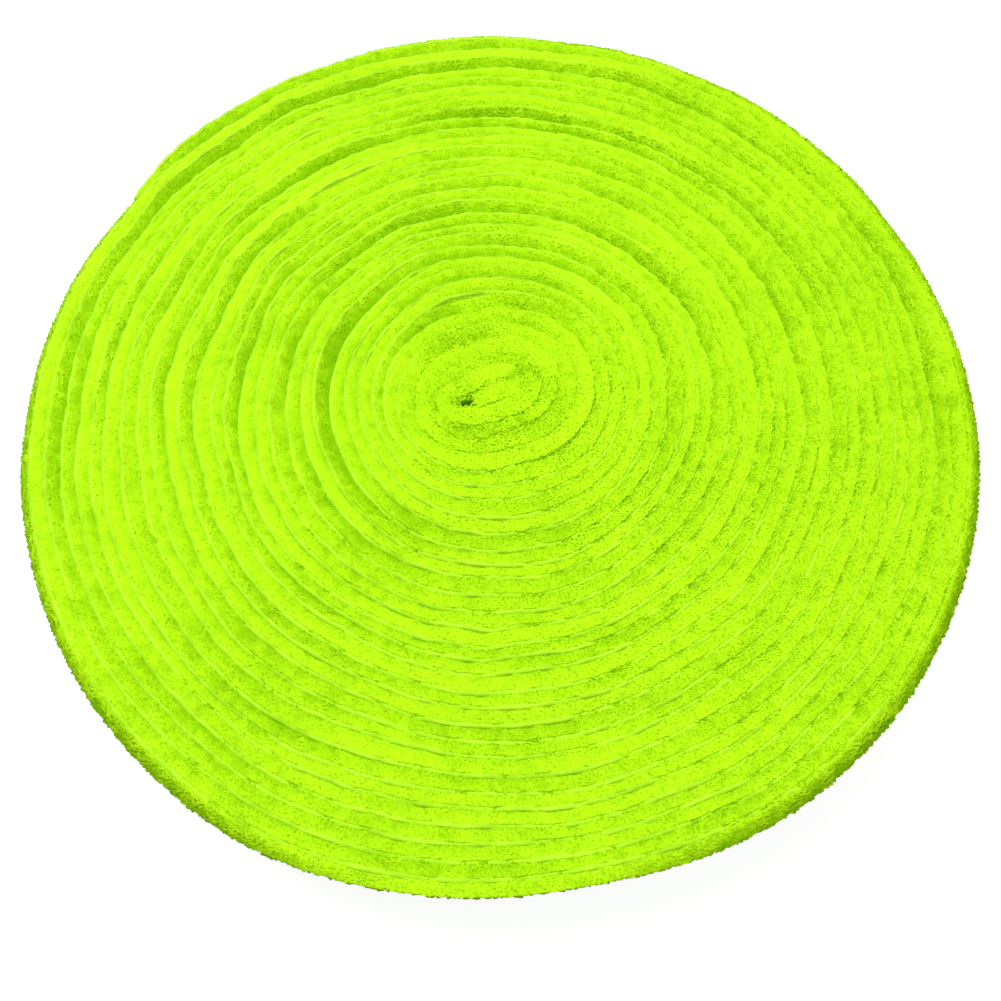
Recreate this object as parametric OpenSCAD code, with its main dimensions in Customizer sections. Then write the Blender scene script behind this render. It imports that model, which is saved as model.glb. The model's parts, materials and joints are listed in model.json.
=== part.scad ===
// Roll of self-adhesive terry grip tape for racket handles, lying flat on one edge.
// One strip is folded at its inner end and wound outwards, pile side out, without a core.
// Every turn is two half turns, each an arc about its own centre. The centres start apart,
// so the middle of the roll is oval, and close up outwards, so the rim is round.
// The last stretch is the free end, in short sections that hinge off the roll.
// +Z is up, the roll rests on Z = 0, and the origin is under the middle of its outline.

/* [Terry strip] */
// Width of the strip, which is the height of the roll as it lies
strip_w = 27; // [20:1:40]
// Thickness of the looped pile where it is pressed between two turns
pile_t = 1.95; // [1.2:0.05:3]
// Thickness of the ground cloth that the loops are woven into
cloth_t = 0.6; // [0.4:0.05:1]

/* [Adhesive strip and liner] */
// Width of the adhesive strip along the middle of the cloth's back
adhesive_w = 12; // [8:1:16]
// Thickness of the adhesive strip
adhesive_t = 0.1; // [0.05:0.05:0.3]
// How far the release liner reaches past the adhesive on each side
liner_lap = 1; // [0.5:0.5:2]
// Thickness of the release liner
liner_t = 0.1; // [0.05:0.05:0.2]

/* [Winding] */
// Whole turns wound on the roll, without the free end
turns = 30; // [8:1:34]
// Air between the pile of one turn and the back of the next
turn_gap = 0.3; // [0.2:0.05:0.6]
// Radius inside the first fold of the strip
fold_r = 0.2; // [0.2:0.1:1]
// Distance between the two centres of the innermost turn
core_l = 10; // [6:0.5:14]
// How much nearer the two centres come with each half turn
core_close = 0.6; // [0.4:0.05:1]
// Length of the eye left open beside the end of the folded leg
eye_l = 3.2; // [2:0.2:5]

/* [Free end] */
// Number of hinged sections in the free end
tail_n = 4; // [2:1:6]
// Angle of the roll that one section covers
tail_step = 12; // [8:1:14]
// Gap between two sections, where they hinge
tail_gap = 0.3; // [0.2:0.05:0.5]

/* [Hidden] */
$fn = 96;
layers = ["pile", "cloth", "adhesive", "liner"];

// The stack of one turn, from its back outwards
liner_w = adhesive_w + 2 * liner_lap;
stack_t = liner_t + adhesive_t + cloth_t + pile_t;
pitch = stack_t + turn_gap;

// Half turns are numbered from the inside: even ones go round the right centre, from its
// bottom to its top, and odd ones round the left centre, from its top to its bottom.
last_half = 2 * turns;
tail_half = last_half + 1;

// Distance of half turn k's centre from the middle line between the two centres
function centre_x(k) = max(0, (core_l - k * core_close) / 2);
// Radius of the stack's back in half turn k, one pitch wider at the ends with every turn
function back_r(k) = fold_r + k * pitch / 2 + centre_x(0) - centre_x(k);
// Height of half turn k's centre, so that it meets the half turn before it in one line
function centre_y(k) =
    k == 0 ? 0 : centre_y(k - 1) + (k % 2 == 1 ? -1 : 1) * (back_r(k) - back_r(k - 1));
function side(k) = k % 2 == 0 ? 1 : -1;
function centre(k) = [side(k) * centre_x(k), centre_y(k)];

// Outline of the wound roll, and the shift that puts its middle over the origin
outer_r = back_r(last_half) + stack_t;
inner_side_r = back_r(last_half - 1) + stack_t;
roll_right = centre(last_half)[0] + outer_r;
roll_left = centre(last_half - 1)[0] - inner_side_r;
roll_top = centre(last_half)[1] + outer_r;
roll_bottom = centre(last_half - 1)[1] - inner_side_r;
middle = [(roll_right + roll_left) / 2, (roll_top + roll_bottom) / 2];

// The free end starts where the last half turn reaches the top of the roll
tail_start = 90;
tail_outer_r = back_r(tail_half) + stack_t;
gap_angle = tail_gap / tail_outer_r * 180 / PI;

// Each layer as [distance from the back of the stack, thickness, width]
function layer(name) =
    name == "liner" ? [0, liner_t, liner_w] :
    name == "adhesive" ? [liner_t, adhesive_t, adhesive_w] :
    name == "cloth" ? [liner_t + adhesive_t, cloth_t, strip_w] :
    [liner_t + adhesive_t + cloth_t, pile_t, strip_w];

// Cross-section of a layer at radius r, centred on the strip's width
module section(l, r) {
    translate([r + l[0], (strip_w - l[2]) / 2]) square([l[1], l[2]]);
}

// Part of half turn k's arc, from angle a over angle sweep
module arc(l, k, a, sweep) {
    translate(concat(centre(k), 0))
        rotate([0, 0, a])
            rotate_extrude(angle = sweep) section(l, back_r(k));
}

// Flat run along the side of half turn k where it ends (dir = 1) or starts (dir = -1)
module flat_run(l, k, dir, x_from, x_to) {
    s = side(k) * dir;
    y_in = centre_y(k) + s * (back_r(k) + l[0]);
    translate([min(x_from, x_to), min(y_in, y_in + s * l[1]), (strip_w - l[2]) / 2])
        cube([abs(x_to - x_from), l[1], l[2]]);
}

// One layer of the wound roll: the folded leg, then arcs joined by flat runs
module wound(l) {
    leg_end = centre(1)[0] - back_r(1) + eye_l;
    translate([-middle[0], -middle[1], 0]) {
        flat_run(l, 0, -1, leg_end, centre(0)[0]);
        for (k = [0 : last_half]) {
            arc(l, k, k % 2 == 0 ? -90 : 90, 180);
            if (centre_x(k) > 0) flat_run(l, k, 1, centre(k)[0], centre(k + 1)[0]);
        }
    }
}

// One layer of section i of the free end
module tail(l, i) {
    from = tail_start + (i - 1) * tail_step + gap_angle;
    translate([-middle[0], -middle[1], 0])
        arc(l, tail_half, from, tail_step - gap_angle);
}

module pile_roll() { color("greenyellow") wound(layer("pile")); }
module cloth_roll() { color("yellowgreen") wound(layer("cloth")); }
module adhesive_roll() { color("palegoldenrod") wound(layer("adhesive")); }
module liner_roll() { color("ivory") wound(layer("liner")); }
module pile_tail(i) { color("greenyellow") tail(layer("pile"), i); }
module cloth_tail(i) { color("yellowgreen") tail(layer("cloth"), i); }
module adhesive_tail(i) { color("palegoldenrod") tail(layer("adhesive"), i); }
module liner_tail(i) { color("ivory") tail(layer("liner"), i); }

pile_roll();
cloth_roll();
adhesive_roll();
liner_roll();
for (i = [1 : tail_n]) {
    pile_tail(i);
    cloth_tail(i);
    adhesive_tail(i);
    liner_tail(i);
}
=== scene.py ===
"""Looks of a wound roll of terry grip tape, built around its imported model.

The strip is laid along the same folded spiral as the model's, and then settles: turns kink,
bulge, rise and sink a little. Geometry Nodes sweep the strip's layers along that lay and stand
the pile's yarn loops on it. Everything is in metres, +Z up, on the model's origin.
"""

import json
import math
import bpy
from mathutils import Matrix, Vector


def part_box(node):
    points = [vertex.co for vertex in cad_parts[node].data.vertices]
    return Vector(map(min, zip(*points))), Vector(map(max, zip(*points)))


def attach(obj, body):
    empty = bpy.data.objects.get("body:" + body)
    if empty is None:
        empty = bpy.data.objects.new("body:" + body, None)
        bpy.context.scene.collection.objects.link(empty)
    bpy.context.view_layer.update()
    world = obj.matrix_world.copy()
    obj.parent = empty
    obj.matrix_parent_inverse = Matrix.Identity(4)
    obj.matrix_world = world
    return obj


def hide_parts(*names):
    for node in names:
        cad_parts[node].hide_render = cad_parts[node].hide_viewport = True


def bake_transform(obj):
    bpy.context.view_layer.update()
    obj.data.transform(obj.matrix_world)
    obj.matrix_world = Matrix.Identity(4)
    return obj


bl_info = {
    "name": "Terry Grip Tape Roll",
    "version": (1, 0, 0),
    "blender": (4, 5, 0),
    "location": "View3D > Sidebar > Grip Roll",
    "description": "Builds a wound roll of terry grip tape with its pile, cloth, adhesive and liner",
    "category": "Add Mesh",
}

import bpy
import numpy as np
from mathutils import Matrix, Vector
from mathutils.kdtree import KDTree

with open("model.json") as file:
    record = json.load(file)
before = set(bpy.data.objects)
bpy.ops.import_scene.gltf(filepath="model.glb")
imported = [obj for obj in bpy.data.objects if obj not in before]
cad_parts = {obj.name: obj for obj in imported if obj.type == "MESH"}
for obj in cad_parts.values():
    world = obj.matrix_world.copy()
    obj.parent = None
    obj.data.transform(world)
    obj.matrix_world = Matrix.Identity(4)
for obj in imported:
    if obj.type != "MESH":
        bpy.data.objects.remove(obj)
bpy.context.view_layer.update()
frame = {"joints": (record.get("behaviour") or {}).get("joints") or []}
MM = 0.001
JOINTS = frame["joints"]
SECTIONS = len(JOINTS)
FLOOR_Z = 0.0


def node_box(name):
    """Lowest and highest corner of a node of the model, as arrays."""
    low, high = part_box(name)
    return np.array(low), np.array(high)


STRIP_LOW, STRIP_HIGH = node_box("pile_roll")
FILM_LOW, FILM_HIGH = node_box("adhesive_roll")
LINER_LOW, LINER_HIGH = node_box("liner_roll")


# ---------------------------------------------------------------- sizes and colours

def length(name, description, default):
    """A property that holds a length."""
    return bpy.props.FloatProperty(name=name, description=description, unit="LENGTH",
                                   default=default)


def colour(name, description, default):
    """A property that holds a colour."""
    return bpy.props.FloatVectorProperty(name=name, description=description, subtype="COLOR",
                                         size=4, min=0, max=1, default=(*default, 1))


class StripSizes(bpy.types.PropertyGroup):
    """Sizes of the strip and of its winding, as the model has them."""
    turns: bpy.props.IntProperty(
        name="Turns", description="Whole turns on the roll, without the free end",
        default=30, min=8, max=34)
    width: length("Width", "Width of the strip", float(STRIP_HIGH[2] - STRIP_LOW[2]))
    pile: length("Pressed pile", "Depth of the pile between two turns", 1.95 * MM)
    cloth: length("Ground cloth", "Thickness of the ground cloth", 0.6 * MM)
    film: length("Adhesive", "Thickness of the adhesive strip", 0.1 * MM)
    liner: length("Liner", "Thickness of the release liner", 0.1 * MM)
    gap: length("Turn gap", "Air between two turns", 0.3 * MM)
    fold: length("First fold", "Radius inside the first fold", 0.2 * MM)
    core: length("Core", "Distance between the innermost turn's two centres", 10 * MM)
    core_close: length("Core closing", "How much nearer the centres come each half turn", 0.6 * MM)
    eye: length("Eye", "Length of the eye beside the folded leg", 3.2 * MM)
    section: bpy.props.FloatProperty(
        name="Free-end section", description="Angle of the roll that one section covers",
        subtype="ANGLE", default=math.radians(12))


class PileLook(bpy.types.PropertyGroup):
    """How the pile's yarn loops stand."""
    pitch: length("Loop pitch", "Distance between loops along the strip", 0.64 * MM)
    row: length("Row pitch", "Distance between rows across the edge", 0.62 * MM)
    wall_pitch: length("Rim pitch", "Distance between loops on the rim, both ways", 1.25 * MM)
    yarn: length("Yarn radius", "Radius of the pile yarn", 0.24 * MM)
    height: length("Loop height", "Height of a loop above its foot", 0.50 * MM)
    width: length("Loop width", "Distance between a loop's two feet", 0.60 * MM)
    free: length("Free pile", "Height of the pile where nothing presses it", 3.0 * MM)
    seed: bpy.props.IntProperty(
        name="Seed", description="Seed of the loops' own lean and size", default=7)


class RollColours(bpy.types.PropertyGroup):
    """Colours of the strip's layers and of the stage."""
    # The pile's tint mixes these two. It carries random mottling and painted shade, so the dark colour is
    # also the pile's painted shade.
    pile_light: colour("Pile, light", "Light yarn of the pile", (0.545, 0.98, 0.010))
    pile_deep_and_shade: colour("Pile, deep", "Deep yarn of the pile", (0.27, 0.60, 0.001))
    cloth: colour("Cloth", "Ground cloth and selvedge", (0.55, 0.98, 0.030))
    film: colour("Adhesive", "Adhesive film", (0.62, 0.66, 0.30))
    liner: colour("Liner", "Release paper", (0.80, 0.79, 0.72))
    floor: colour("Floor", "Floor and backdrop", (0.42, 0.42, 0.42))


# ---------------------------------------------------------------- the strip's lay

def half_turns(sizes):
    """Centre and back radius of each half turn, from the first fold to the free end."""
    pitch = sizes.pile + sizes.cloth + sizes.film + sizes.liner + sizes.gap
    last = 2 * sizes.turns + 1
    spread = [max(0.0, (sizes.core - k * sizes.core_close) / 2) for k in range(last + 1)]
    radius = [sizes.fold + k * pitch / 2 + spread[0] - spread[k] for k in range(last + 1)]
    height = [0.0]
    for k in range(1, last + 1):
        height.append(height[-1] + (-1 if k % 2 else 1) * (radius[k] - radius[k - 1]))
    centres = [((1 if k % 2 == 0 else -1) * spread[k], height[k]) for k in range(last + 1)]
    stack = pitch - sizes.gap
    right = centres[last - 1][0] + radius[last - 1] + stack
    left = centres[last - 2][0] - radius[last - 2] - stack
    top = centres[last - 1][1] + radius[last - 1] + stack
    bottom = centres[last - 2][1] - radius[last - 2] - stack
    middle = np.array([(right + left) / 2, (top + bottom) / 2])
    return [(np.array(c) - middle, r) for c, r in zip(centres, radius)], stack


def ideal_lay(sizes, step):
    """Points of the strip's back along its whole length, as wound, and where the free end starts."""
    halves, stack = half_turns(sizes)
    last = len(halves) - 1
    points = []

    def run(start, end):
        count = max(2, int(np.linalg.norm(end - start) / step) + 1)
        points.extend(start + (end - start) * t for t in np.linspace(0, 1, count)[:-1])

    def arc(k, start, sweep):
        centre, radius = halves[k]
        count = max(8, int(math.radians(sweep) * (radius + stack) / step) + 1)
        for a in np.radians(np.linspace(start, start + sweep, count)[:-1]):
            points.append(centre + radius * np.array([math.cos(a), math.sin(a)]))

    centre, radius = halves[0]
    leg_end = halves[1][0][0] - halves[1][1] + sizes.eye
    run(np.array([leg_end, centre[1] - radius]), centre - np.array([0, radius]))
    for k in range(last):
        arc(k, -90 if k % 2 == 0 else 90, 180)
        side = np.array([0, halves[k][1] if k % 2 == 0 else -halves[k][1]])
        if abs(halves[k][0][0] - halves[k + 1][0][0]) > 0.1 * MM and k < last - 1:
            run(halves[k][0] + side, np.array([halves[k + 1][0][0], (halves[k][0] + side)[1]]))
    root = len(points)
    arc(last, 90, math.degrees(sizes.section) * SECTIONS)
    return np.array(points), root


def waves(values, lengths, seed):
    """A smooth random curve through the values, between about -1 and 1."""
    random = np.random.default_rng(seed)
    total = sum(np.sin(values * (2 * math.pi / w) + random.uniform(0, 2 * math.pi)) for w in lengths)
    return total / len(lengths) ** 0.5


def swell(x, y, length, seed, count=7):
    """A smooth random field over the plane, between about -1 and 1."""
    random = np.random.default_rng(seed)
    total = np.zeros_like(x)
    for _ in range(count):
        a, w = random.uniform(0, 2 * math.pi), length * random.uniform(0.7, 1.6)
        total += np.sin((x * math.cos(a) + y * math.sin(a)) * (2 * math.pi / w)
                        + random.uniform(0, 2 * math.pi))
    return total / count ** 0.5


# Kinks and bulges: angle in degrees, then radius, reach along, reach across and height outward
# in mm.
KINKS = (
    (255, 54, 4.5, 8, 1.2),
    (243, 50, 5.0, 7, 0.6),
    (268, 48, 5.0, 6, 0.5),
    (76, 54, 4.0, 5, 1.0),
    (46, 57, 6.0, 4, 0.5),
    (128, 75, 5.0, 9, 1.1),
    (108, 80, 9.0, 7, 0.7),
    (188, 60, 4.0, 8, -0.7),
    (215, 76, 6.0, 8, 0.6),
    (8, 38, 5.0, 5, 0.6),
    (62, 106, 78, 20, 1.5),
    (125, 106, 25, 20, 0.3),
    (0, 104, 22, 12, -1.6),
    (232, 104, 26, 12, 1.0),
    (268, 103, 32, 9, -2.4),
)
# Height of the roll's face at a radius in mm, above its mean: raised and sunk turns.
RELIEF = (
    (0, 0.4), (9, 0.2), (13, 0.5), (17, 0.4), (21, -0.2), (24, 0.5), (31, 0.8), (34, -0.9),
    (37, -0.6), (39, 0.3), (43, -0.7), (47.5, -0.7), (50, 0.4), (54, -0.3), (60, 0.2),
    (64, -0.3), (67, 0.9), (70, -0.9), (75, -0.8), (78, 0.3), (84, 0.0), (89, -0.8), (92, -0.6),
    (95, 0.6), (98, -0.9), (101, -0.4), (104, -0.2),
)
# Lumps and hollows of the core: place, reach and height in mm.
LUMPS = (
    ((-2, -1), 5.0, 0.5),
    ((-11, -7), 3.0, 0.5),
    ((9, 0), 3.0, 0.5),
    ((4, -1), 1.8, -1.8),
    ((-8, -2.5), 1.8, -0.9),
    ((-11, -11), 2.2, -1.2),
    ((-6.5, -12), 2.4, -1.5),
    ((-2, -10.5), 2.4, -1.5),
    ((3, -10.5), 2.4, -1.5),
    ((8, -8.5), 2.2, -1.2),
    ((10, -5), 2.0, -0.9),
    ((-10, 9.5), 3.0, -0.8),
    ((-2, 10.5), 3.0, -0.7),
    ((8, 12), 3.5, -0.9),
    ((16, 8), 3.5, -0.7),
)
# The eye: where it lies from the end of the folded leg, and how it has closed and stretched.
EYE_FROM_LEG = np.array([-1.3, -1.9]) * MM
EYE_CLOSED = 0.36
EYE_STRETCH = 0.9
# How far the middle of the roll has slid from the middle of its rim, and its core besides.
MIDDLE_SLIDE = np.array([-0.5, -2.35]) * MM
CORE_SLIDE = np.array([-2.9, 0.6]) * MM
CORE_TWIST = math.radians(10)
# How far the tip of the free end is pressed into the pile of the turn under it, and over how
# many points of the lay: to where it ends, and to where it has fallen to about a third.
TIP_PRESSED = 1.1 * MM
TIP_POINTS = 40
TIP_REACH = 14
# Where the next turn is looked for: its usual distance and the reach around that, and the
# least distance and greatest sideways shift of a point that counts.
TURN_AWAY, TURN_REACH = 3.2 * MM, 2.3 * MM
LEAST_AWAY, MOST_ASIDE = 1.2 * MM, 0.75 * MM
# Ways from the middle: to where the pile lies deepest, to where it hides the cloth, wholly or
# in part, and to where the free pile of the rim is pressed.
FAR_WAY = math.radians(108)
FUZZ_WAY = math.radians(-8)
HALF_FUZZ_WAY = math.radians(222)
PRESSED_WAY = math.radians(258)


def around(angles, centre, reach):
    """A smooth bump over angles in radians, 1 at the centre."""
    turned = (angles - centre + math.pi) % (2 * math.pi) - math.pi
    return np.exp(-np.abs(turned / reach) ** 1.4)


def settled(points):
    """The laid points after the roll has settled: kinks, bulges, slow waves, a slid middle."""
    r = np.hypot(*points.T)
    a = np.arctan2(points[:, 1], points[:, 0]) + CORE_TWIST * np.exp(-((r / (20 * MM)) ** 2))
    x, y = r * np.cos(a), r * np.sin(a)
    inner = np.clip((r - 6 * MM) / (12 * MM), 0, 1) * np.clip((97 * MM - r) / (8 * MM), 0, 1)
    push = 0.35 * MM * swell(x, y, 34 * MM, 3) * inner
    push += 0.30 * MM * waves(r, (15 * MM, 8.5 * MM), 5) * inner
    push += 0.11 * MM * swell(x, y, 9 * MM, 23, count=12) * inner
    for degrees, *reaches in KINKS:
        radius, along, across, height = (reach * MM for reach in reaches)
        push += (height * around(a, math.radians(degrees), along / radius)
                 * np.exp(-((r - radius) / across) ** 2))
    from_tip = np.arange(TIP_POINTS)[::-1]
    push[-TIP_POINTS:] -= TIP_PRESSED * np.exp(-((from_tip / TIP_REACH) ** 2))
    slide = np.clip(1 - (r / (96 * MM)) ** 2, 0, 1)[:, None] * MIDDLE_SLIDE
    slide = slide + np.exp(-((r / (14 * MM)) ** 2))[:, None] * CORE_SLIDE
    laid = slide + (r + push)[:, None] * np.column_stack([np.cos(a), np.sin(a)])
    eye = laid - laid[0] - EYE_FROM_LEG
    near = np.exp(-((np.hypot(*eye.T) / (4 * MM)) ** 2))[:, None]
    return laid + near * eye * np.array([EYE_STRETCH, -EYE_CLOSED])


def room_outside(place, out, free):
    """How far the next turn's back is from each point of the strip's back, and which point it is."""
    tree = KDTree(len(place))
    for i, spot in enumerate(place):
        tree.insert((*spot, 0), i)
    tree.balance()
    room = np.full(len(place), free)
    beside = np.arange(len(place))
    for i, spot in enumerate(place):
        ahead = spot + out[i] * TURN_AWAY
        for _, j, _ in tree.find_range((*ahead, 0), TURN_REACH):
            hop = place[j] - spot
            away = hop @ out[i]
            aside = abs(hop[0] * out[i][1] - hop[1] * out[i][0])
            if away > LEAST_AWAY and aside < MOST_ASIDE and away < room[i]:
                room[i], beside[i] = away, j
    return room, beside


def smoothed(values, span):
    """Running mean over a span of points, with the ends held."""
    padded = np.pad(values, span // 2, mode="edge")
    return np.convolve(padded, np.ones(span) / span, mode="valid")[:len(values)]


class Lay:
    """The settled strip: where its back runs, which way is out, and how high it stands."""

    def __init__(self, sizes, pile, step=1.0 * MM):
        ideal, self.root = ideal_lay(sizes, step)
        self.place = settled(ideal)
        way = np.gradient(self.place, axis=0)
        way /= np.linalg.norm(way, axis=1)[:, None]
        self.out = np.column_stack([way[:, 1], -way[:, 0]])
        middle = self.place + self.out * (sizes.pile + sizes.cloth) / 2
        hops = np.linalg.norm(np.diff(middle, axis=0), axis=1)
        self.along = np.concatenate([[0], np.cumsum(hops)])
        self.length = self.along[-1]
        back = sizes.liner + sizes.film
        free = back + sizes.cloth + pile.free
        room, beside = room_outside(self.place, self.out, free)
        self.rim = int(np.flatnonzero(room < free)[-1]) + 1
        loose = np.arange(len(room)) >= self.rim
        facing = np.arctan2(self.out[:, 1], self.out[:, 0])
        pressed = np.clip(1.6 * around(facing, PRESSED_WAY, 0.4) - 0.3, 0, 1)
        self.loose = smoothed(loose * (1 - 0.9 * pressed), 7)
        tip = np.clip((self.length - self.along) / (72 * MM), 0, 1)
        reach = pile.free * (0.87 - 0.13 * np.cos(facing - FAR_WAY) - 0.2 * pressed)
        reach = reach * (0.10 + 0.90 * tip ** 0.8) + back + sizes.cloth
        x, y = (middle - MIDDLE_SLIDE).T
        r, a = np.hypot(x, y), np.arctan2(y, x)
        core = np.exp(-((r / (21 * MM)) ** 4))
        far = 0.5 + 0.5 * np.cos(a - FAR_WAY)
        filled = smoothed(np.where(loose, reach, room + back), 5)
        self.band = filled + 0.4 * MM * core
        self.bed = filled + (0.15 * core + 0.10) * MM
        self.fuzz = np.maximum((0.5 + 0.5 * np.cos(a - FUZZ_WAY)) ** 2,
                               0.5 * around(a, HALF_FUZZ_WAY, 0.7))
        self.fuzz = np.maximum(self.fuzz, core)
        radii, heights = zip(*RELIEF)
        lift = np.interp(r / MM, radii, heights) * MM * (0.6 + 0.3 * far)
        lift += (0.12 + 0.30 * far) * MM * waves(self.along, (83 * MM, 190 * MM, 410 * MM), 11)
        lift += 0.22 * MM * swell(x, y, 30 * MM, 13)
        lump = np.zeros_like(lift)
        for spot, span, height in LUMPS:
            apart = np.hypot(*(middle - np.array(spot) * MM).T)
            lump += height * MM * np.exp(-((apart / (span * MM)) ** 2))
        tip = np.clip((self.length - self.along) / (30 * MM), 0, 1)
        lift += lump - 1.5 * MM * (1 - tip) ** 2
        self.lift = lift
        self.ramp = smoothed(lift[beside] - lift, 9)
        inside = np.arange(len(room))
        inside[beside] = np.arange(len(room))
        # Painted shade: sunk turns, low turns, hollows of the core and the far side are darkened in the
        # colour; slow waves over the radius add random banding.
        sunk = smoothed((lift[beside] + lift[inside]) / 2 - lift, 9) / MM
        tone = 0.28 * sunk - 0.12 * lift / MM - 0.25 * lump / MM + 0.14 * far
        tone += 0.20 * (1 - far) * waves(r, (11 * MM, 7.3 * MM), 29)
        self.tone = np.clip(tone, -0.25, 0.65) * (1 - 0.5 * self.fuzz * (1 - core))
        dip = (0.25 + 0.52 * far) * (1 + 0.5 * waves(self.along, (97 * MM, 230 * MM, 370 * MM), 19))
        self.dip = np.clip(dip, 0, 1.7) * (1 - 0.8 * core) * (1 - 0.6 * self.loose) * MM
        self.start = (back + sizes.cloth) * (1 - 0.8 * core)
        self.edge = (0.02 + 0.13 * far - 0.65 * self.fuzz - 0.5 * core) * MM
        self.edge += ((0.38 - 0.15 * far) * MM
                      * waves(self.along, (3.7 * MM, 7.7 * MM, 19 * MM, 47 * MM), 17))

    def at(self, index):
        """Place on the strip's back at a point of the lay, in 3D."""
        return Vector((*self.place[index], 0))


# What a path keeps at each of its points for the trees that read it.
PATH_NUMBERS = ("along", "lift", "ramp", "tone", "edge", "fuzz", "dip", "start", "loose", "band",
                "bed")


def linked(name, data):
    """A new object in the scene."""
    made = bpy.data.objects.new(name, data)
    bpy.context.scene.collection.objects.link(made)
    return made


def path_object(lay, name, first, last, stride=1):
    """The lay between two of its points as a line of edges, with what the trees read."""
    keep = np.unique(np.append(np.arange(first, last, stride), last))
    flat = np.zeros(len(keep))
    place = np.column_stack([lay.place[keep], flat])
    mesh = bpy.data.meshes.new(name)
    mesh.from_pydata(place.tolist(), [(i, i + 1) for i in range(len(place) - 1)], [])
    values = {"place": place, "out": np.column_stack([lay.out[keep], flat])}
    values.update((label, getattr(lay, label)[keep]) for label in PATH_NUMBERS)
    for label, value in values.items():
        kind, field = ("FLOAT_VECTOR", "vector") if value.ndim > 1 else ("FLOAT", "value")
        mesh.attributes.new(label, kind, "POINT").data.foreach_set(
            field, value.astype(np.float32).ravel())
    return linked(name, mesh)


# ---------------------------------------------------------------- node helpers

class Nodes:
    """A node tree, with short ways to add its nodes and link them."""

    def __init__(self, tree):
        self.tree = tree

    def feed(self, node, inputs):
        """Sets a node's inputs, as values or links."""
        for key, value in inputs.items():
            if isinstance(value, bpy.types.NodeSocket):
                self.tree.links.new(value, node.inputs[key])
            else:
                node.inputs[key].default_value = value
        return node

    def put(self, kind, inputs=None, **settings):
        """Adds a node, with its settings and its inputs."""
        made = self.tree.nodes.new(kind)
        for name, value in settings.items():
            setattr(made, name, value)
        return self.feed(made, inputs or {})

    def maths(self, operation, a, b=0.0, c=0.0):
        return self.put("ShaderNodeMath", {0: a, 1: b, 2: c}, operation=operation).outputs[0]

    def add(self, a, b):
        return self.maths("ADD", a, b)

    def sub(self, a, b):
        return self.maths("SUBTRACT", a, b)

    def mul(self, a, b):
        return self.maths("MULTIPLY", a, b)

    def div(self, a, b):
        return self.maths("DIVIDE", a, b)

    def mul_add(self, a, b, c):
        """a times b, plus c."""
        return self.maths("MULTIPLY_ADD", a, b, c)

    def clamped(self, value):
        return self.put("ShaderNodeClamp", {"Value": value}).outputs[0]

    def mapped(self, value, low, high, to_low, to_high):
        """A value taken from one range to another, and held inside it."""
        return self.put("ShaderNodeMapRange", {
            "Value": value, 1: low, 2: high, 3: to_low, 4: to_high}).outputs[0]

    def xyz(self, x=0.0, y=0.0, z=0.0):
        return self.put("ShaderNodeCombineXYZ", {"X": x, "Y": y, "Z": z}).outputs[0]

    def parts(self, vector):
        return self.put("ShaderNodeSeparateXYZ", {0: vector}).outputs

    def vector_maths(self, operation, a, b=(0, 0, 0)):
        return self.put("ShaderNodeVectorMath", {0: a, 1: b}, operation=operation).outputs[0]

    def vector_add(self, a, b):
        return self.vector_maths("ADD", a, b)

    def scaled(self, vector, scale):
        return self.put("ShaderNodeVectorMath", {0: vector, "Scale": scale},
                        operation="SCALE").outputs[0]

    def noise(self, where, scale, detail):
        return self.put("ShaderNodeTexNoise", {
            "Vector": where, "Scale": scale, "Detail": detail}).outputs["Fac"]

    def blended(self, share, first, second):
        """A colour between two."""
        return self.put("ShaderNodeMix", {"Factor": share, 6: first, 7: second},
                        data_type="RGBA").outputs[2]

    def read(self, name, kind="FLOAT"):
        """What a path keeps under a name."""
        return self.put("GeometryNodeInputNamedAttribute", {"Name": name},
                        data_type=kind).outputs[0]

    def read_vector(self, name):
        return self.read(name, "FLOAT_VECTOR")

    def kept(self, geometry, name, value, kind="FLOAT", domain="POINT"):
        """Geometry that keeps a value under a name."""
        return self.put("GeometryNodeStoreNamedAttribute", {
            "Geometry": geometry, "Name": name, "Value": value},
            data_type=kind, domain=domain).outputs[0]

    def moved(self, geometry, place):
        return self.put("GeometryNodeSetPosition", {
            "Geometry": geometry, "Position": place}).outputs[0]

    def line(self, mesh):
        return self.put("GeometryNodeMeshToCurve", {"Mesh": mesh}).outputs[0]

    def swept(self, curve, profile):
        return self.put("GeometryNodeCurveToMesh", {
            "Curve": curve, "Profile Curve": profile, "Fill Caps": True}).outputs[0]

    def end_in(self, end, geometry, finish):
        """Ends a Geometry Nodes tree in real, smooth geometry with its material."""
        real = self.put("GeometryNodeRealizeInstances", {"Geometry": geometry})
        smooth = self.put("GeometryNodeSetShadeSmooth", {"Geometry": real.outputs[0]})
        done = self.put("GeometryNodeSetMaterial",
                        {"Geometry": smooth.outputs[0], "Material": finish})
        self.feed(end, {0: done.outputs[0]})
        return self.tree

    def attribute(self, name, output="Fac"):
        """A mesh's own attribute, in a material."""
        return self.put("ShaderNodeAttribute", attribute_name=name).outputs[output]

    def bump(self, shader, height, strength, distance, normal=None):
        """Gives a shader a bump, over its own normal or over another."""
        inputs = {"Height": height, "Strength": strength, "Distance": distance}
        if normal is not None:
            inputs["Normal"] = self.vector_maths("NORMALIZE", normal)
        self.feed(shader, {"Normal": self.put("ShaderNodeBump", inputs).outputs[0]})


def new_group(name, kind, inputs, outputs):
    """A node group with named inputs and outputs: its nodes, what it is given and its end."""
    tree = bpy.data.node_groups.new(name, kind)
    for way, sockets in (("OUTPUT", outputs), ("INPUT", inputs)):
        for label, (socket_kind, value) in sockets.items():
            socket = tree.interface.new_socket(label, in_out=way,
                                               socket_type="NodeSocket" + socket_kind)
            if value is not None:
                socket.default_value = value
    start, end = tree.nodes.new("NodeGroupInput"), tree.nodes.new("NodeGroupOutput")
    return Nodes(tree), start.outputs, end


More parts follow.
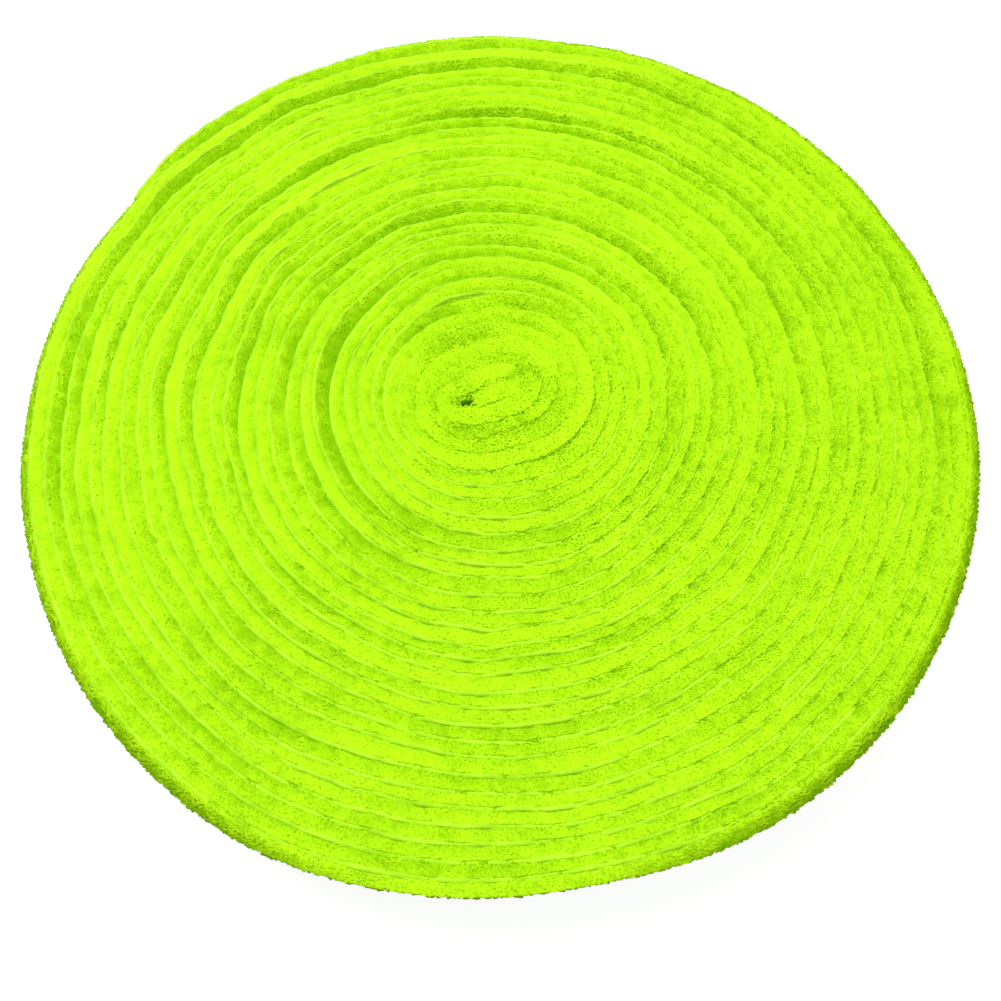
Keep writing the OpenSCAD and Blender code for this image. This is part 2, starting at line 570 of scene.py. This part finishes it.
def new_tree(name, sizes):
    """A Geometry Nodes group with a mesh in and out and the sizes as its named inputs."""
    mesh = {"Geometry": ("Geometry", None)}
    return new_group(name, "GeometryNodeTree", {**mesh, **sizes}, mesh)


# How far the free pile's outer end hangs under its top, on the rim.
HANG = 2.6 * MM
# The strip's width, over which a lift grows from nothing at the lower edge.
LIFT_OVER = 27 * MM


def grown(path, tree, values, name):
    """Runs a tree on a path object and returns its result as a plain mesh object."""
    modifier = path.modifiers.new(tree.name, "NODES")
    modifier.node_group = tree
    for item in tree.interface.items_tree:
        if item.item_type == "SOCKET" and item.in_out == "INPUT" and item.name in values:
            modifier[item.identifier] = values[item.name]
    bpy.context.view_layer.update()
    graph = bpy.context.evaluated_depsgraph_get()
    mesh = bpy.data.meshes.new_from_object(path.evaluated_get(graph))
    path.modifiers.remove(modifier)
    mesh.name = name
    for label in ("place", "out", "section") + PATH_NUMBERS[1:]:
        found = mesh.attributes.get(label)
        if found:
            mesh.attributes.remove(found)
    return linked(name, mesh)


def pile_fall(net, share):
    """How far the pile's top lies under the strip's, and how much painted shade darkens its colour.

    The share runs from the ground cloth, 0, to the back of the next turn, 1. The pile is
    lowest beside the cloth, where painted shade darkens it most, rises to the next turn, and
    hangs over at the rim, where painted shade darkens the hanging part. The turn's own painted
    shade and random banding are added.
    """
    near_cloth = net.sub(1.0, share)
    groove = net.mul(net.read("dip"), net.mul_add(near_cloth, 1.15, -0.15))
    ramp = net.mul(net.read("ramp"), share)
    hang = net.mul(net.read("loose"), net.maths("POWER", share, 2.0))
    fall = net.mul_add(hang, HANG, net.sub(groove, ramp))
    # Painted shade: darkest beside the cloth and more so where the groove dips further, with more painted
    # shade on the hanging rim pile; the turn's own painted shade is added.
    deep = net.mul(net.maths("POWER", near_cloth, 1.5), net.mul_add(net.read("dip"), 650.0, 0.15))
    return fall, net.add(deep, net.mul_add(hang, 1.1, net.read("tone")))


def placed(net, depth, height):
    """Place at a depth outward from the strip's back and at a height."""
    outward = net.scaled(net.read_vector("out"), depth)
    return net.vector_add(net.vector_add(net.read_vector("place"), outward), net.xyz(z=height))


def ribbon_tree():
    """Sweeps one layer of the strip along a path: a flat band with rounded edges."""
    net, given, end = new_tree("Sweep layer", {
        "Inner face": ("Float", 0.0), "Thickness": ("Float", 0.6 * MM), "Bottom": ("Float", 0.0),
        "Top": ("Float", 27 * MM), "Rounding": ("Float", 0.2 * MM), "Rounds": ("Int", 1),
        "Edge share": ("Float", 1.0), "Fill": ("Float", 0.0), "Material": ("Material", None)})
    height = net.sub(given["Top"], given["Bottom"])
    outline = net.put("GeometryNodeCurvePrimitiveQuadrilateral",
                      {"Width": given["Thickness"], "Height": height})
    rounded = net.put("GeometryNodeFilletCurve", {
        "Curve": outline.outputs[0], "Radius": given["Rounding"], "Count": given["Rounds"]},
        mode="POLY")
    middle = net.xyz(net.mul(given["Thickness"], 0.5), net.mul_add(height, 0.5, given["Bottom"]))
    here = net.put("GeometryNodeInputPosition").outputs[0]
    section = net.kept(rounded.outputs[0], "section", net.vector_add(here, middle), "FLOAT_VECTOR")
    swept = net.swept(net.line(given["Geometry"]), section)
    parts = net.parts(net.read_vector("section"))
    across = net.div(parts["X"], given["Thickness"])
    plain = net.add(parts["X"], given["Inner face"])
    start = net.read("start")
    filled = net.mul_add(across, net.sub(net.read("bed"), start), start)
    depth = net.mul_add(net.sub(filled, plain), given["Fill"], plain)
    share = net.clamped(net.div(parts["Y"], LIFT_OVER))
    lift = net.mul(net.read("lift"), share)
    top = net.mul(net.maths("GREATER_THAN", share, 0.5), given["Edge share"])
    lift = net.add(lift, net.mul(net.read("edge"), top))
    fall, deep = pile_fall(net, across)
    # Painted shade: the cloth darkens towards its outer side, beside the groove, more so where the groove
    # dips further; the bed takes the pile's painted shade instead.
    groove_shade = net.mul(across, net.mul_add(net.read("dip"), 450.0, 0.1))
    deep = net.mul_add(net.sub(deep, groove_shade), given["Fill"], groove_shade)
    lift = net.sub(lift, net.mul(net.mul(fall, share), given["Fill"]))
    moved = net.moved(swept, placed(net, depth, net.add(parts["Y"], lift)))
    weave = net.xyz(net.read("along"), parts["Y"])
    mapped = net.kept(net.kept(moved, "tint", deep), "weave", weave, "FLOAT_VECTOR")
    return net.end_in(end, mapped, given["Material"])


LOOP_INPUTS = {
    "Pitch": ("Float", 0.85 * MM), "Row pitch": ("Float", 0.75 * MM),
    "Height": ("Float", 0.9 * MM), "Width": ("Float", 0.6 * MM), "Yarn": ("Float", 0.32 * MM),
    "Lean": ("Float", 0.3), "Spin": ("Float", 0.6), "Arch steps": ("Int", 2),
    "Yarn sides": ("Int", 3), "Seed": ("Int", 1), "Material": ("Material", None)}


def chances(net, given):
    """A maker of random numbers, each from its own salt and the tree's seed."""
    def chance(low, high, salt):
        seed = net.add(given["Seed"], float(salt))
        return net.put("FunctionNodeRandomValue", {2: low, 3: high, "Seed": seed},
                       data_type="FLOAT").outputs[1]
    return chance


def path_dots(net, given, rows):
    """Points along the path at the loops' pitch, copied once for each row."""
    dots = net.put("GeometryNodeCurveToPoints", {
        "Curve": net.line(given["Geometry"]), "Length": given["Pitch"]}, mode="LENGTH")
    copies = net.put("GeometryNodeDuplicateElements",
                     {"Geometry": dots.outputs["Points"], "Amount": rows}, domain="POINT")
    return copies.outputs[0], copies.outputs["Duplicate Index"]


def planted(net, given, end, points, spot, aim, face, deep, girth, chance):
    """Plants a yarn loop on each point, turned to its aim, and ends the tree.

    Each loop arches along the strip, and keeps the way that the pile faces there and its tint,
    a random part plus the painted shade that it is given. Its girth is a factor on its width and yarn.
    """
    way = net.vector_maths("CROSS_PRODUCT", (0, 0, 1), net.read_vector("out"))
    slide = net.mul(chance(-0.45, 0.45, 1), given["Pitch"])
    points = net.moved(points, net.vector_add(spot, net.scaled(way, slide)))
    arch = net.put("GeometryNodeCurvePrimitiveBezierSegment", {
        "Resolution": given["Arch steps"], "Start": (0, -0.5, 0), "Start Handle": (1.33, -0.7, 0),
        "End Handle": (1.33, 0.7, 0), "End": (0, 0.5, 0)}, mode="POSITION")
    sized = net.put("GeometryNodeTransform", {
        "Geometry": arch.outputs[0],
        "Scale": net.xyz(given["Height"], given["Width"], given["Width"])})
    ring = net.put("GeometryNodeCurvePrimitiveCircle",
                   {"Resolution": given["Yarn sides"], "Radius": given["Yarn"]}, mode="RADIUS")
    yarn = net.swept(sized.outputs[0], ring.outputs["Curve"])
    stray = net.xyz(*(chance(-1.0, 1.0, salt) for salt in (2, 3, 4)))
    aim = net.vector_add(aim, net.scaled(stray, given["Lean"]))
    turn = net.put("FunctionNodeAxesToRotation", {"Primary Axis": aim, "Secondary Axis": way},
                   primary_axis="X", secondary_axis="Y")
    spin = net.put("FunctionNodeAxisAngleToRotation", {
        "Axis": (1, 0, 0), "Angle": net.mul(chance(-1.0, 1.0, 5), given["Spin"])})
    turned = net.put("FunctionNodeRotateRotation",
                     {"Rotation": turn.outputs[0], "Rotate By": spin.outputs[0]},
                     rotation_space="LOCAL")
    size = net.xyz(chance(0.8, 1.15, 6), net.mul(chance(0.8, 1.3, 7), girth),
                   net.mul(chance(0.85, 1.2, 8), girth))
    stood = net.put("GeometryNodeInstanceOnPoints", {
        "Points": points, "Instance": yarn, "Rotation": turned.outputs[0], "Scale": size})
    # A random tint plus the painted shade that the tree gives.
    tint = net.add(chance(-0.03, 0.11, 9), deep)
    tinted = net.kept(stood.outputs[0], "tint", tint, domain="INSTANCE")
    faced = net.kept(tinted, "face", net.vector_maths("NORMALIZE", face), "FLOAT_VECTOR",
                     "INSTANCE")
    return net.end_in(end, faced, given["Material"])


def crown_tree():
    """Stands loops over the upper edge of the pile, from the cloth to the next turn."""
    net, given, end = new_tree("Crown loops", {
        **LOOP_INPUTS, "Top": ("Float", 26.5 * MM), "Clumps": ("Float", 0.7 * MM)})
    chance = chances(net, given)
    start = net.add(net.maths("MINIMUM", net.read("edge"), 0.0), net.read("start"))
    width = net.sub(net.read("band"), start)
    rows = net.maths("MAXIMUM", 1.0, net.maths("ROUND", net.div(width, given["Row pitch"])))
    points, row = path_dots(net, given, rows)
    share = net.div(net.add(net.add(row, 0.5), chance(-0.4, 0.4, 10)), rows)
    depth = net.mul_add(width, share, start)
    loose = net.mul(net.read("loose"), share)
    lie = net.xyz(net.mul(net.read("along"), 0.6), depth)
    clump = net.sub(net.noise(lie, 640.0, 1.0), 0.5)
    fall, shade = pile_fall(net, share)
    # Painted shade: loops darken where a clump sets them lower and lighten where it raises them, and all
    # are a little darker.
    shade = net.mul_add(clump, -2.6, net.add(shade, 0.12))
    height = net.sub(net.add(given["Top"], net.read("lift")), fall)
    height = net.add(height, net.mul(clump, given["Clumps"]))
    height = net.add(height, net.mul(net.read("fuzz"), 0.1 * MM))
    height = net.add(height, net.mul(given["Height"], -0.5))
    out = net.read_vector("out")
    aim = net.vector_add((0, 0, 1), net.scaled(out, net.mul_add(loose, 0.6, 0.2)))
    slope = net.add(net.mul(net.read("dip"), 0.85), net.read("ramp"))
    slope = net.mul_add(slope, -220.0, net.mul(loose, 1.6))
    face = net.vector_add((0, 0, 1), net.scaled(out, slope))
    girth = net.mul_add(loose, 0.9, 1.0)
    return planted(net, given, end, points, placed(net, depth, height), aim, face, shade, girth,
                   chance)


def wall_tree():
    """Stands rows of loops on the outer face of the strip."""
    net, given, end = new_tree("Wall loops", {
        **LOOP_INPUTS, "Foot": ("Float", 0.8 * MM), "First row": ("Float", 0.6 * MM),
        "Rows": ("Int", 26), "Shade": ("Float", 0.9), "On bed": ("Float", 0.0)})
    chance = chances(net, given)
    points, row = path_dots(net, given, given["Rows"])
    height = net.add(row, chance(-0.4, 0.4, 10))
    height = net.mul_add(height, given["Row pitch"], given["First row"])
    height = net.maths("MAXIMUM", height, given["First row"])
    share = net.clamped(net.div(height, LIFT_OVER))
    lifted = net.mul_add(net.read("lift"), share, height)
    out = net.read_vector("out")
    # Painted shade: the rim's loops are darkened by the Shade input, more towards the bottom of the wall.
    low = net.mul_add(share, -0.4, given["Shade"])
    depth = net.mul_add(net.read("bed"), given["On bed"], given["Foot"])
    return planted(net, given, end, points, placed(net, depth, lifted), out, out, low, 1.0, chance)


# ---------------------------------------------------------------- materials

def yarn_dye_and_painted_light_group():
    """Dyed cotton: slow blotches, fine mottling and yarn fuzz, as a colour and a height, and a
    painted glow that fades out towards the bottom.

    The colour sinks to a dark green of painted shade down in the eye in the roll's middle.
    """
    net, given, end = new_group(
        "Dyed yarn", "ShaderNodeTree",
        {"Light": ("Color", (1, 1, 1, 1)), "Deep": ("Color", (0, 0, 0, 1)),
         "Sunk": ("Color", (0.01, 0.16, 0.02, 1)), "Tint": ("Float", 0.5),
         "Mottle": ("Float", 0.5), "Glow": ("Float", 0.15)},
        {"Color": ("Color", None), "Height": ("Float", None), "Glow": ("Float", None)})
    where = net.put("ShaderNodeTexCoord").outputs["Object"]
    rise = net.parts(where)["Z"]
    slow, fine, fuzz = (net.noise(where, scale, 2.0) for scale in (55.0, 480.0, 4200.0))
    speck = net.mul(net.sub(fine, 0.5), given["Mottle"])
    deep = net.mul_add(net.sub(slow, 0.5), 0.7, net.mul(speck, 2.0))
    mixed = net.blended(net.clamped(net.add(deep, given["Tint"])), given["Light"], given["Deep"])
    level = net.vector_maths("MULTIPLY", where, (1, 1, 0))
    apart = net.put("ShaderNodeVectorMath", {0: level}, operation="LENGTH").outputs["Value"]
    # Painted shade: the colour turns dark green in the eye, near the axis and low down.
    painted_eye_shade = net.mul(net.mapped(apart, 20 * MM, 30 * MM, 1.0, 0.0),
                     net.mapped(rise, 20 * MM, 25 * MM, 1.0, 0.0))
    # Painted light: the emission glows at full strength at the top of the roll and fades out towards the
    # bottom.
    net.feed(end, {
        "Color": net.blended(painted_eye_shade, mixed, given["Sunk"]),
        "Height": net.mul_add(fuzz, 0.5, fine),
        "Glow": net.mul(net.mapped(rise, 14 * MM, 26 * MM, 0.0, 1.0), given["Glow"])})
    return net.tree


def material(name):
    """A new material: itself, its nodes and its shader."""
    made = bpy.data.materials.new(name)
    made.use_nodes = True
    return made, Nodes(made.node_tree), made.node_tree.nodes["Principled BSDF"]


def dye_and_painted_light(net, shader, tint, light, deep, mottle, glow, roughness, specular):
    """Colours a shader with yarn dye, painted shade and a painted glow as emission, and returns the yarn's
    height.
    """
    yarn = net.put("ShaderNodeGroup", {
        "Tint": tint, "Light": light, "Deep": deep, "Mottle": mottle, "Glow": glow},
        node_tree=Workshop.get("yarn", yarn_dye_and_painted_light_group)).outputs
    net.feed(shader, {
        "Base Color": yarn["Color"], "Emission Color": yarn["Color"],
        "Emission Strength": yarn["Glow"], "Roughness": roughness,
        "Specular IOR Level": specular})
    return yarn["Height"]


def terry_material(colours):
    """Looped pile: yarn colour, each loop with its own random tint and painted shade, and a painted glow,
    lit by the way the pile faces.
    """
    made, net, shader = material("terry_pile")
    height = dye_and_painted_light(net, shader, net.attribute("tint"), colours.pile_light, colours.pile_deep_and_shade,
                  mottle=0.4, glow=0.14, roughness=0.92, specular=0.05)
    face = net.put("ShaderNodeVectorTransform", {0: net.attribute("face", "Vector")},
                   vector_type="NORMAL", convert_from="OBJECT", convert_to="WORLD").outputs[0]
    own = net.put("ShaderNodeNewGeometry").outputs["Normal"]
    net.bump(shader, height, 0.25, 0.12 * MM, net.vector_add(net.scaled(own, 0.12), face))
    return made


def bed_material(colours):
    """The dense feet of the pile, between the loops."""
    made, net, shader = material("pile_bed")
    # Painted shade: the bed between the loops is a little darker than the loops.
    tint = net.add(net.attribute("tint"), 0.12)
    height = dye_and_painted_light(net, shader, tint, colours.pile_light, colours.pile_deep_and_shade,
                  mottle=0.6, glow=0.12, roughness=0.95, specular=0.05)
    net.bump(shader, height, 0.6, 0.5 * MM)
    return made


def cloth_material(colours):
    """Woven ground cloth: warp and weft threads that follow the strip."""
    made, net, shader = material("ground_cloth")
    lie = net.attribute("weave", "Vector")
    warp, weft = (net.put("ShaderNodeTexWave", {"Vector": lie, "Scale": scale, "Distortion": 0.6},
                          bands_direction=way).outputs["Fac"]
                  for scale, way in ((330.0, "X"), (420.0, "Y")))
    threads = net.mul(warp, weft)
    worn = net.mul(net.sub(net.noise(lie, 130.0, 3.0), 0.42), 1.6)
    # The tint carries the painted shade beside the groove, with the threads and worn blotches on top.
    tint = net.mul_add(threads, -0.1, net.add(net.attribute("tint"), worn))
    dye_and_painted_light(net, shader, tint, colours.cloth, colours.pile_deep_and_shade,
         mottle=0.4, glow=0.12, roughness=0.85, specular=0.1)
    selvedge = net.mapped(net.parts(lie)["Y"], 25.2 * MM, 26.6 * MM, 0.0, 1.4)
    own = net.put("ShaderNodeNewGeometry").outputs["Normal"]
    net.bump(shader, threads, 0.5, 0.08 * MM, net.vector_add(net.scaled((0, 0, 1), selvedge), own))
    return made


def film_material(colours):
    """Tacky adhesive film, faintly uneven."""
    made, net, shader = material("adhesive_film")
    grain = net.noise(net.put("ShaderNodeTexCoord").outputs["Object"], 900.0, 2.0)
    net.feed(shader, {"Base Color": colours.film,
                      "Roughness": net.mapped(grain, 0.0, 1.0, 0.25, 0.5)})
    net.bump(shader, grain, 0.3, 0.05 * MM)
    return made


def liner_material(colours):
    """Release paper with a faint fibre grain."""
    made, net, shader = material("release_liner")
    fibre = net.noise(net.attribute("weave", "Vector"), 1500.0, 4.0)
    dim = tuple(0.9 * c for c in colours.liner[:3]) + (1,)
    net.feed(shader, {"Base Color": net.blended(fibre, colours.liner, dim), "Roughness": 0.55})
    net.bump(shader, fibre, 0.25, 0.04 * MM)
    return made


def floor_material(colours):
    """Pale floor that reads white to the camera and keeps the roll's shadow."""
    made, net, shader = material("floor_white")
    eye = net.put("ShaderNodeLightPath").outputs["Is Camera Ray"]
    net.feed(shader, {
        "Base Color": colours.floor, "Roughness": 0.9, "Specular IOR Level": 0.1,
        "Emission Color": (1, 1, 1, 1), "Emission Strength": net.mul(eye, 0.82)})
    return made


# ---------------------------------------------------------------- pieces

class Workshop:
    """What the operators share: the lay, the trees and the materials, made when first asked."""
    store = {}

    @classmethod
    def get(cls, key, make):
        if key not in cls.store:
            cls.store[key] = make()
        return cls.store[key]


def props():
    scene = bpy.context.scene
    return scene.grip_sizes, scene.grip_pile, scene.grip_colours


def lay():
    return Workshop.get("lay", lambda: Lay(*props()[:2]))


def finish(kind):
    """The material of a layer, or of the pile's bed."""
    maker = {"pile": terry_material, "bed": bed_material, "cloth": cloth_material,
             "adhesive": film_material, "liner": liner_material}[kind]
    return Workshop.get("finish_" + kind, lambda: maker(props()[2]))


SLOTS = {"pile": "terry_pile", "cloth": "ground_cloth", "adhesive": "adhesive_film",
         "liner": "release_liner"}
# How far the crown's loops root under the strip's upper edge, and how far the bed stands over that.
CROWN_ROOT = 0.4 * MM
BED_RISE = 0.1 * MM


def layer_sizes(layer):
    """The inputs of a layer's sweep."""
    sizes = props()[0]
    face = sizes.liner + sizes.film
    film = {"Rounding": 0.0, "Rounds": 0, "Edge share": 0.0, "Fill": 0.0}
    return {
        "liner": {**film, "Inner face": 0.0, "Thickness": sizes.liner,
                  "Bottom": LINER_LOW[2], "Top": LINER_HIGH[2]},
        "adhesive": {**film, "Inner face": sizes.liner, "Thickness": sizes.film,
                     "Bottom": FILM_LOW[2], "Top": FILM_HIGH[2]},
        "cloth": {"Inner face": face, "Thickness": 1.35 * sizes.cloth, "Bottom": 0.0,
                  "Top": sizes.width - 0.1 * MM, "Rounding": 0.28 * MM, "Rounds": 1,
                  "Edge share": 1.0, "Fill": 0.0},
        "pile": {"Inner face": face + sizes.cloth, "Thickness": 1 * MM, "Bottom": 0.7 * MM,
                 "Top": sizes.width - CROWN_ROOT + BED_RISE, "Rounding": 0.1 * MM, "Rounds": 1,
                 "Edge share": 0.0, "Fill": 1.0},
    }[layer]


def along_lay(name, first, last, tree, values, stride=1):
    """What a tree grows along the lay between two of its points."""
    path = path_object(lay(), "path_" + name, first, last, stride)
    made = grown(path, tree, values, name)
    bpy.data.objects.remove(path)
    return made


def sweep(layer, name, first, last):
    """One layer of the strip between two points of the lay."""
    values = {**layer_sizes(layer), "Material": finish("bed" if layer == "pile" else layer)}
    return along_lay(name, first, last, Workshop.get("ribbon", ribbon_tree), values,
                     stride=3 if layer in ("adhesive", "liner") else 1)


def loops(tree_name, name, first, last, seed, **values):
    """Loops of a tree between two points of the lay."""
    pile = props()[1]
    maker = {"crown": crown_tree, "wall": wall_tree}[tree_name]
    return along_lay(name, first, last, Workshop.get(tree_name, maker), {
        "Pitch": pile.pitch, "Row pitch": pile.row, "Height": pile.height, "Width": pile.width,
        "Yarn": pile.yarn, "Lean": 0.3, "Spin": 0.6, "Seed": pile.seed + 20 * seed,
        "Material": finish("pile"), **values})


def crown(name, first, last, seed):
    """Loops over the upper edge."""
    return loops("crown", name, first, last, seed, Top=props()[0].width - CROWN_ROOT)


def hem(name, first, last, seed):
    """One row of loops along the lower edge, on the cloth's outer face."""
    sizes = props()[0]
    return loops("wall", name, first, last, seed, **{
        "Foot": sizes.liner + sizes.film + sizes.cloth, "First row": 0.8 * MM, "Rows": 1, "Pitch": 2.0 * MM,
        "Height": 1.5 * MM, "Lean": 0.1})


def wall(name, first, last, seed):
    """Rows of loops on the free outer face."""
    sizes, pile, _ = props()
    return loops("wall", name, first, last, seed, **{
        "Foot": -1.4 * pile.height, "On bed": 1.0, "First row": 1.6 * MM,
        "Rows": int((sizes.width - HANG - 1.6 * MM) / pile.wall_pitch), "Pitch": pile.wall_pitch,
        "Row pitch": pile.wall_pitch, "Height": 1.5 * pile.height, "Width": 1.6 * pile.width,
        "Yarn": 2.1 * pile.yarn, "Arch steps": 3, "Yarn sides": 4, "Spin": 1.57, "Lean": 0.25})


def joined(pieces, name):
    """Several meshes as one piece."""
    with bpy.context.temp_override(active_object=pieces[0], selected_objects=pieces,
                                   selected_editable_objects=pieces):
        bpy.ops.object.join()
    pieces[0].name = name
    pieces[0].data.name = name
    return pieces[0]


def index_at(length):
    """Index of the lay's point that lies nearest to a length from the folded end."""
    return int(np.searchsorted(lay().along, length))


def roll_end():
    """Where the wound roll's pieces stop, a little before the first hinge."""
    return index_at(lay().along[lay().root] - 8 * MM)


def spans(first, last, parts):
    """Splits a stretch of the lay into parts of equal length, end to end."""
    along = lay().along
    cuts = [index_at(x) for x in np.linspace(along[first], along[last], parts + 1)]
    return list(zip(cuts[:-1], cuts[1:]))


def dress(piece, layer):
    """Puts a piece of the wound roll on its body, and hides the model's node that it stands for."""
    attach(piece, "roll")
    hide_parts(f"{layer}_roll")


class GRIPROLL_OT_cloth(bpy.types.Operator):
    """Winds the ground cloth"""
    bl_idname = "griproll.cloth"
    bl_label = "Ground Cloth"

    def execute(self, context):
        cloth = sweep("cloth", "ground_cloth_wound", 0, roll_end())
        dress(cloth, "cloth")
        Workshop.store["cloth"] = cloth
        return {"FINISHED"}


class GRIPROLL_OT_backing(bpy.types.Operator):
    """Winds the adhesive strip and its release liner"""
    bl_idname = "griproll.backing"
    bl_label = "Adhesive and Liner"

    def execute(self, context):
        for layer in ("adhesive", "liner"):
            piece = sweep(layer, layer + "_wound", 0, roll_end())
            dress(piece, layer)
            Workshop.store[layer] = piece
        return {"FINISHED"}


class GRIPROLL_OT_pile(bpy.types.Operator):
    """Winds the pile: its dense bed and the loops on its upper and lower edge"""
    bl_idname = "griproll.pile"
    bl_label = "Pile"

    def execute(self, context):
        end = roll_end()
        pieces = [sweep("pile", "pile_bed_wound", 0, end)]
        for i, (first, last) in enumerate(spans(0, end, 6)):
            pieces.append(crown(f"pile_crown_{i + 1}", first, last, i))
        pieces.append(hem("pile_hem", 0, end, 10))
        for piece in pieces:
            dress(piece, "pile")
        Workshop.store["pile"] = pieces
        return {"FINISHED"}


class GRIPROLL_OT_rim(bpy.types.Operator):
    """Stands the free pile on the outermost turn"""
    bl_idname = "griproll.rim"
    bl_label = "Rim Pile"

    def execute(self, context):
        pieces = [wall(f"pile_rim_{i + 1}", first, last, 20 + i)
                  for i, (first, last) in enumerate(spans(lay().rim, roll_end(), 3))]
        for piece in pieces:
            dress(piece, "pile")
        Workshop.store["rim"] = pieces
        return {"FINISHED"}


# How many points of the lay to each side of a hinge the free end looks up.
BEND_REACH = 5


class GRIPROLL_OT_free_end(bpy.types.Operator):
    """Makes the free end in lengths, one for each of the model's joints"""
    bl_idname = "griproll.free_end"
    bl_label = "Free End"

    def execute(self, context):
        laid = lay()
        total = len(laid.place) - 1
        tail = total - laid.root
        middles = [laid.root + round(tail * (i + 0.5) / SECTIONS) for i in range(SECTIONS)]
        cuts = [roll_end()] + middles[:-1] + [total]
        made = []
        for i, joint in enumerate(JOINTS):
            first, last = cuts[i], cuts[i + 1]
            hinge = laid.root + round(tail * i / SECTIONS)
            ends = {layer: sweep(layer, f"{layer}_end_{i + 1}", first, last) for layer in SLOTS}
            stood = [crown(f"crown_{i}", first, last, 40 + i), hem(f"hem_{i}", first, last, 50 + i),
                     wall(f"wall_{i}", first, last, 60 + i)]
            ends["pile"] = joined([ends["pile"]] + stood, f"pile_end_{i + 1}")
            for layer, piece in ends.items():
                laid.at(hinge - BEND_REACH)
                laid.at(hinge + BEND_REACH)
                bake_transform(piece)
                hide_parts(f"{layer}_tail_{i + 1}")
            made.append((ends, float(laid.along[last] - laid.along[first])))
        Workshop.store["ends"] = made
        return {"FINISHED"}


class GRIPROLL_OT_declare(bpy.types.Operator):
    bl_idname = "griproll.declare"
    bl_label = "Declare Sheets"

    def execute(self, context):
        laid = lay()
        float(laid.along[roll_end()])
        return {"FINISHED"}


# ---------------------------------------------------------------- stage

VIEW_TURN = math.radians(-12)
CAMERA_RISE = math.radians(68.1)
LENS = 30.5
SENSOR = 36.0
EYE = Vector((0.3, -90.6, 181.9)) * MM
FLOOR_HALF = 4.0


def add_camera():
    """The camera, close over the near rim and looking down on the roll."""
    ahead = Vector((0, math.cos(CAMERA_RISE), -math.sin(CAMERA_RISE)))
    right = Vector((1, 0, 0))
    look = Matrix((right, right.cross(ahead), -ahead)).transposed().to_4x4()
    camera = linked("camera", bpy.data.cameras.new("camera"))
    camera.data.lens = LENS
    camera.data.sensor_width = SENSOR
    camera.data.clip_start = 0.01
    camera.matrix_world = Matrix.Rotation(VIEW_TURN, 4, "Z") @ Matrix.Translation(EYE) @ look
    bpy.context.scene.camera = camera


def studio_world():
    """A white dome, brightest overhead, that reads white to the camera."""
    world = bpy.data.worlds.new("studio")
    world.use_nodes = True
    net = Nodes(world.node_tree)
    rise = net.parts(net.put("ShaderNodeTexCoord").outputs["Generated"])["Z"]
    eye = net.put("ShaderNodeLightPath").outputs["Is Camera Ray"]
    net.feed(world.node_tree.nodes["Background"], {
        "Strength": net.maths("MAXIMUM", net.mapped(rise, 0.0, 1.0, 0.10, 0.56), eye),
        "Color": (1, 1, 1, 1)})
    return world


def add_lamp(name, place, size, power):
    """A round lamp that points at the roll's middle."""
    lamp = bpy.data.lights.new(name, "AREA")
    lamp.shape = "DISK"
    lamp.size = size
    lamp.energy = power
    made = linked(name, lamp)
    made.location = place
    made.rotation_euler = (-Vector(place)).to_track_quat("-Z", "Y").to_euler()


class GRIPROLL_OT_stage(bpy.types.Operator):
    """Sets the floor, the lamps, the world and the camera"""
    bl_idname = "griproll.stage"
    bl_label = "Stage"

    def execute(self, context):
        scene = context.scene
        mesh = bpy.data.meshes.new("floor")
        corners = ((-1, -1), (1, -1), (1, 1), (-1, 1))
        mesh.from_pydata([(FLOOR_HALF * x, FLOOR_HALF * y, FLOOR_Z) for x, y in corners], [],
                         [(0, 1, 2, 3)])
        mesh.materials.append(floor_material(props()[2]))
        linked("floor", mesh)
        scene.world = studio_world()
        add_lamp("key", (-0.16, 0.34, 0.86), 0.4, 5.55)
        add_lamp("fill", (0.5, -0.3, 0.8), 0.8, 0.8)
        add_camera()
        scene.view_settings.view_transform = "Standard"
        return {"FINISHED"}


class GRIPROLL_PT_panel(bpy.types.Panel):
    """Lists the roll's sizes, colours and operators"""
    bl_idname = "GRIPROLL_PT_panel"
    bl_label = "Grip Roll"
    bl_space_type = "VIEW_3D"
    bl_region_type = "UI"
    bl_category = "Grip Roll"

    def draw(self, context):
        for group in props():
            box = self.layout.box()
            for name in group.__annotations__:
                box.prop(group, name)
        for operator in STEPS:
            self.layout.operator(operator.bl_idname)


STEPS = (GRIPROLL_OT_cloth, GRIPROLL_OT_backing, GRIPROLL_OT_pile, GRIPROLL_OT_rim,
         GRIPROLL_OT_free_end, GRIPROLL_OT_declare, GRIPROLL_OT_stage)
CLASSES = (StripSizes, PileLook, RollColours, *STEPS, GRIPROLL_PT_panel)


def register():
    for made in CLASSES:
        bpy.utils.register_class(made)
    bpy.types.Scene.grip_sizes = bpy.props.PointerProperty(type=StripSizes)
    bpy.types.Scene.grip_pile = bpy.props.PointerProperty(type=PileLook)
    bpy.types.Scene.grip_colours = bpy.props.PointerProperty(type=RollColours)


def unregister():
    del bpy.types.Scene.grip_colours
    del bpy.types.Scene.grip_pile
    del bpy.types.Scene.grip_sizes
    for made in reversed(CLASSES):
        bpy.utils.unregister_class(made)


def main():
    register()
    bpy.ops.griproll.cloth()
    bpy.ops.griproll.backing()
    bpy.ops.griproll.pile()
    bpy.ops.griproll.rim()
    bpy.ops.griproll.free_end()
    bpy.ops.griproll.declare()
    bpy.ops.griproll.stage()


if __name__ == "__main__":
    main()
